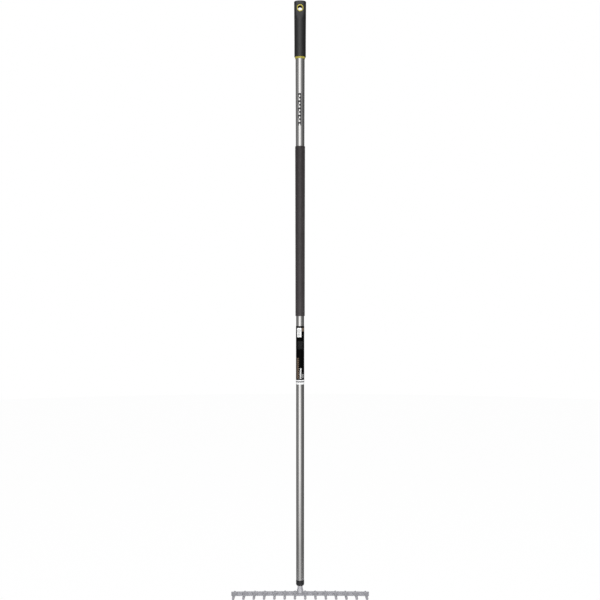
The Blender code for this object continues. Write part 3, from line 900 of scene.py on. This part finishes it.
def makeLabelSleeve():
    low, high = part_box("label_sleeve")
    bore = shaft["footRadius"] + film["gap"]
    outer = bore + film["wall"]
    profile = [(outer, high.z)] + [(outer, height) for height in rows(high.z, low.z, film["rows"])]
    profile += [(outer, low.z), (bore, low.z), (bore, high.z)]
    bm = turned(profile, film["steps"])
    for vert in bm.verts:
        out = Vector((vert.co.x, vert.co.y, 0))
        if out.length > bore + film["wall"] / 2:
            away = abs(math.atan2(vert.co.x, vert.co.y)) * outer
            lap = min(max((film["overlap"] / 2 - away) / film["stepEdge"], 0.0), 1.0)
            wave = film["wave"] * noise.noise(vert.co * 90)
            vert.co += out.normalized() * (lap * film["step"] + wave)
    install(toObject("labelSleeve", bm, printedFilm(high.z, outer), 50), "printed_film", "label_sleeve")


# Ferrule and tang

ferrule = dict(
    step=0.25 * mm,         # past the tube
    edge=0.35 * mm,
    roundHeight=5.0 * mm,
    lip=0.6 * mm,
    collar=15.1 * mm,
    crown=0.08 * mm,        # how full the collar's side is
    steps=128,
)

tang = dict(
    radius=7.1 * mm,
    point=2.5 * mm,
    pointRadius=4.5 * mm,
    straight=4.0 * mm,      # of the neck under the ferrule
    flarePower=1.3,
    footBand=1.2 * mm,
    footHalfWidth=9.05 * mm,
    footHalfDepth=6.4 * mm,
    footRound=2.0 * mm,
    tongueHalfWidth=5.5 * mm,
    tongueHeight=3.0 * mm,
    steps=72,
)


def blackPlastic():
    look = dict(dark=(0.004, 0.004, 0.0042), pale=(0.010, 0.0098, 0.010), grit=(0.07, 0.067, 0.064))
    material, shader, place = startMaterial("blackPlastic", Specular_IOR_Level=0.75, IOR=1.5)
    cloud = place.grain(90.0, 3.0, 0.6)
    spark = place.grain(4200.0, 2.0, 0.6)
    scuff = (place.stretched(1, 1, 0.5).grain(700.0, 5.0, 0.75) > 0.63) * spark.ramp(0.4, 0.6)
    body = (cloud * 0.6 + spark * 0.4).ramp(0.38, 0.62).tint(look["dark"], look["pale"])
    plug(
        shader,
        Base_Color=(scuff * 0.4).tint(body, look["grit"]),
        Roughness=cloud.ramp(0.3, 0.7, 0.28, 0.36) + scuff * 0.12,
        Normal=spark.bump(0.03 * mm, 0.5),
    )
    return material


def makeFerrule():
    low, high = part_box("ferrule")
    bore = tang["radius"] + fit
    wide = shaft["footRadius"] + ferrule["step"]
    bushing = shaft["footRadius"] - shaft["wall"] - fit
    edge = ferrule["edge"]
    top = low.z + ferrule["collar"]
    roundWidth = wide - bore - ferrule["lip"]
    profile = [(bore + edge / 2, high.z), (bushing - edge, high.z), (bushing, high.z - edge), (bushing, top)]
    profile += arc((wide - edge, top - edge), (edge, edge), 90, 0, 5)
    for share in (0.2, 0.35, 0.5, 0.65, 0.8):
        height = top - edge + (low.z + ferrule["roundHeight"] - top + edge) * share
        profile.append((wide + ferrule["crown"] * math.sin(math.pi * share) - ferrule["crown"] / 2, height))
    foot = (wide - roundWidth, low.z + ferrule["roundHeight"])
    profile += arc(foot, (roundWidth, ferrule["roundHeight"]), 0, -90, 14)
    profile += [(bore + edge / 2, low.z), (bore, low.z + edge / 2), (bore, high.z - edge / 2)]
    bm = turned(profile, ferrule["steps"])
    install(toObject("ferruleCollar", bm, blackPlastic(), 50), "black_plastic", "ferrule")


def platedSteel():
    look = dict(pale=(0.80, 0.795, 0.825), dull=(0.68, 0.676, 0.70), stain=(0.44, 0.43, 0.44))
    material, shader, place = startMaterial("platedSteel", IOR=1.45)
    cloud = place.grain(110.0, 4.0, 0.65)
    hammer = place.cells(420.0)
    fine = place.stretched(1, 1, 0.25).grain(2600.0, 3.0, 0.6)
    stain = (place.grain(340.0, 5.0, 0.7).ramp(0.56, 0.70)) * cloud.ramp(0.4, 0.6)
    body = (cloud * 0.6 + fine * 0.4).ramp(0.36, 0.64).tint(look["dull"], look["pale"])
    plug(
        shader,
        Base_Color=(stain * 0.5).tint(body, look["stain"]),
        Metallic=stain.ramp(0, 1, 0.75, 0.45),
        Roughness=cloud.ramp(0.3, 0.7, 0.38, 0.50) + stain * 0.15,
        Normal=(hammer * 0.5 + fine * 0.5).bump(0.05 * mm, 0.5),
    )
    return material


def makeTang():
    low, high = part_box("tang")
    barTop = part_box("head_bar")[1].z
    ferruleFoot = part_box("ferrule")[0].z
    flareTop = ferruleFoot - tang["straight"]
    flareFoot = barTop + tang["footBand"]
    radius, footWide, footDeep = tang["radius"], tang["footHalfWidth"], tang["footHalfDepth"]
    rounding = tang["footRound"]
    stations = [(tang["pointRadius"], tang["pointRadius"], high.z), (radius, radius, high.z - tang["point"])]
    stations += [(radius, radius, height) for height in rows(high.z - tang["point"], flareTop, 12)]
    for step in range(17):
        share = step / 16
        wide = radius + (footWide - radius) * share ** tang["flarePower"]
        deep = radius + (footDeep - radius) * share
        stations.append((wide, deep, flareTop + (flareFoot - flareTop) * share))
    for wide, height in arc((footWide - rounding, low.z + rounding), (rounding, rounding), 0, -84, 8):
        stations.append((wide, footDeep, height))
    bm = drawOut(roundOutline(tang["steps"]), [placed((0, 0, z), (w, d, 1)) for w, d, z in stations])
    steel = platedSteel()
    piece = toObject("tangShank", bm, steel, 35)
    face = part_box("head_bar")[1].y + fit
    side = 2 * footWide
    below = low.z - 2 * rounding
    combine(piece, block((-side, -face, below), (side, face, barTop + fit), steel), sharp=35)
    front = block((-side, -2 * radius, below), (side, 0, barTop), steel)
    oval = (tang["tongueHalfWidth"], tang["tongueHeight"], 1)
    tongue = [placed((0, y, barTop), oval, flatToWall) for y in (-side, side)]
    combine(front, toObject("tongue", drawOut(roundOutline(64), tongue), steel), sharp=35)
    combine(piece, front, sharp=35)
    install(piece, "bright_steel", "tang")


# Head: a long bar with fourteen tines set through it

headBar = dict(
    height=12.0 * mm,
    thickness=4.0 * mm,
    corner=0.8 * mm,
    endRound=0.9 * mm,
    drop=1.2 * mm,          # how far its ends bow down
    swell=0.8 * mm,         # deeper in the middle, under the tang
    swellWidth=36.0 * mm,
    dents=0.05 * mm,
    rows=200,
)

tines = dict(
    count=14,
    pitch=27.7 * mm,
    reach=72.8 * mm,
    rise=8.7 * mm,
    arch=4.2 * mm,          # how far its middle stands over a plain curve
    root=(7.2 * mm, 9.2 * mm),
    tip=(6.4 * mm, 6.2 * mm),
    beak=2.2 * mm,          # more height close to the tip
    beakPower=6,
    flare=(8.0 * mm, 1.6 * mm),     # more width and height where the root meets the bar
    flareLength=18.0 * mm,
    tipRound=2.0 * mm,
    tenon=(4.0 * mm, 7.8 * mm),
    tail=(5.0 * mm, 12.4 * mm),
    tailLift=1.2 * mm,
    tailLength=2.8 * mm,
    tailRound=1.8 * mm,
    corner=0.28,            # of a section's corners, as a share of its width and height
    unevenness=0.14 * mm,
)

barLow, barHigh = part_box("head_bar")
barMiddleHeight = barHigh.z - headBar["height"] / 2


def barMiddle(x):
    return barMiddleHeight - headBar["drop"] * (x / barHigh.x) ** 2


noise.seed_set(5)     # without a seed each run draws other dents


def uneven(bm, depth, scale, away=None):
    # Small dents of forged steel, none where the piece fits another.
    for vert in bm.verts:
        if away is None or away(vert.co):
            vert.co += noise.noise_vector(vert.co * scale) * depth


def mottledSteel():
    look = dict(
        pale=(0.366, 0.363, 0.386),
        dull=(0.336, 0.333, 0.354),
        dark=(0.22, 0.216, 0.226),
        bareAndLitSteel=(0.455, 0.451, 0.472),
        tipShadeFrom=60 * mm,                # how far out the painted shade of the tips starts
        tipShadeTo=74 * mm,
        litRootFrom=(-2.6 * mm, -3.6 * mm),         # painted light at the root, which starts in front of the bar
        litRootTo=(-26 * mm, -12 * mm),
    )
    material, shader, place = startMaterial("mottledSteel", IOR=1.5)
    cloud = place.grain(48.0, 4.0, 0.6)
    spangle = place.cells(310.0)
    fine = place.grain(1900.0, 4.0, 0.65)
    stain = place.grain(170.0, 5.0, 0.7).ramp(0.55, 0.70)
    out = place.axis("Y") * -1.0 + cloud * (8 * mm) - 4 * mm
    tip = out.ramp(look["tipShadeFrom"], look["tipShadeTo"])
    rub = tip * (place.stretched(1, 0.2, 1).grain(900.0, 4.0, 0.7) > 0.56)
    body = (cloud * 0.5 + spangle * 0.25 + fine * 0.25).ramp(0.32, 0.62).tint(look["dull"], look["pale"])
    # Darker where stained, and painted shade towards the tips.
    body = (stain * 0.10 + tip * 0.3).limited().tint(body, look["dark"])
    root = place.axis("Y").ramp(*look["litRootFrom"]) * place.axis("Y").ramp(*look["litRootTo"])
    body = (root * 0.7).tint(body, look["bareAndLitSteel"])     # painted light: brighter at the tine roots, making up for the shade on their flared sides
    plug(
        shader,
        Base_Color=(rub * 0.5).tint(body, look["bareAndLitSteel"]),
        Metallic=(cloud.ramp(0.3, 0.7, 0.20, 0.30) + rub * 0.3).limited(),
        Roughness=fine.ramp(0.3, 0.7, 0.46, 0.60) + stain * 0.10 - rub * 0.12,
        Normal=(fine * 0.7 + spangle * 0.3).bump(0.06 * mm, 0.5),
    )
    return material


def tinePlaces():
    return [(number - (tines["count"] - 1) / 2) * tines["pitch"] for number in range(tines["count"])]


def makeHeadBar(steel):
    size, trims = (headBar["thickness"], headBar["height"]), headBar["endRound"]
    inner = barHigh.x - headBar["dents"] - trims
    ends = [(inner + along, trims - rest) for rest, along in arc((0, 0), (trims, trims), 0, 84, 5)]
    stations = [(-x, trim) for x, trim in ends[::-1]]
    stations += [(x, 0.0) for x in rows(-inner, inner, headBar["rows"])]
    stations += ends
    places = []
    for x, trim in stations:
        swell = headBar["swell"] * max(0.0, 1 - (2 * x / headBar["swellWidth"]) ** 2)
        scale = (1 - 2 * trim / size[0], 1 + (swell - 2 * trim) / size[1], 1)
        places.append(placed((x, 0, barMiddle(x) - swell / 2), scale, flatToSide))
    bm = drawOut(softOutline(*size, headBar["corner"], 4), places)
    uneven(bm, headBar["dents"], 130)
    bar = toObject("headBar", bm, steel, 50)
    tenon = [size + 2 * fit for size in tines["tenon"]]
    for x in tinePlaces():
        slot = [placed((x, y, barMiddle(x)), (*tenon, 1), flatToWall) for y in (2 * barLow.y, 2 * barHigh.y)]
        combine(bar, toObject("slot", drawOut(softOutline(1, 1, tines["corner"], 4), slot), steel), sharp=50)
    install(bar, "grey_steel", "head_bar")


def tineStations():
    # Where a tine's sections stand, how large they are and how high, from its tail to its tip.
    back = headBar["thickness"] / 2 + fit
    stations = []
    rounding = tines["tailRound"]
    for rest, along in arc((0, 0), (rounding, tines["tailLength"]), 84, 0, 8):
        trim = 2 * (rounding - rest)
        stations.append((back + along, tines["tail"][0] - trim, tines["tail"][1] - trim, tines["tailLift"]))
    stations += [(y, *tines["tenon"], 0.0) for y in (back, -back)]
    reach, rise, rounding, flareLength = (
        tines[name] for name in ("reach", "rise", "tipRound", "flareLength")
    )
    bend = (reach ** 2 + rise ** 2) / (2 * rise)
    outs = [(flareLength * (step / 14) ** 1.6, 0.0) for step in range(14)]
    outs += [(out, 0.0) for out in [flareLength] + rows(flareLength, reach - rounding, 24)]
    end = arc((0, reach - rounding), (rounding, rounding), 0, 84, 7)
    outs += [(along, rounding - rest) for rest, along in end]
    for out, trim in outs:
        share = out / reach
        flare = max(0.0, 1 - out / flareLength) ** 2
        sizes = zip(tines["root"], tines["tip"], tines["flare"])
        size = [root + (tip - root) * share + more * flare - 2 * trim for root, tip, more in sizes]
        size[1] += tines["beak"] * share ** tines["beakPower"]
        lift = bend - math.sqrt(bend ** 2 - out ** 2) + 4 * tines["arch"] * share * (1 - share)
        stations.append((-back - out, *size, lift))
    return stations


def makeTines(steel):
    front = -headBar["thickness"] / 2 - 2 * fit
    for number, x in enumerate(tinePlaces(), start=1):
        z = barMiddle(x)
        places = []
        for y, wide, tall, lift in tineStations():
            places.append(placed((x, y, z + lift), (wide, tall, 1), flatToWall))
        bm = drawOut(softOutline(1, 1, tines["corner"], 6), places)
        uneven(bm, tines["unevenness"], 110, lambda point: point.y < front)
        tine = toObject("tine%02d" % number, bm, steel, 50)
        install(tine, "grey_steel", "tine_%02d" % number)


makeStudio()
makeShaft()
makeGripCover()
makeGripCore()
makeFoamSleeve()
makeLabelSleeve()
makeFerrule()
makeTang()
forged = mottledSteel()
makeHeadBar(forged)
makeTines(forged)

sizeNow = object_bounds()
sizes = [[round(v, 4) for v in high - low] for low, high in (sizeNow, cadBox)]
print("size:", sizes[0], "of", sizes[1])
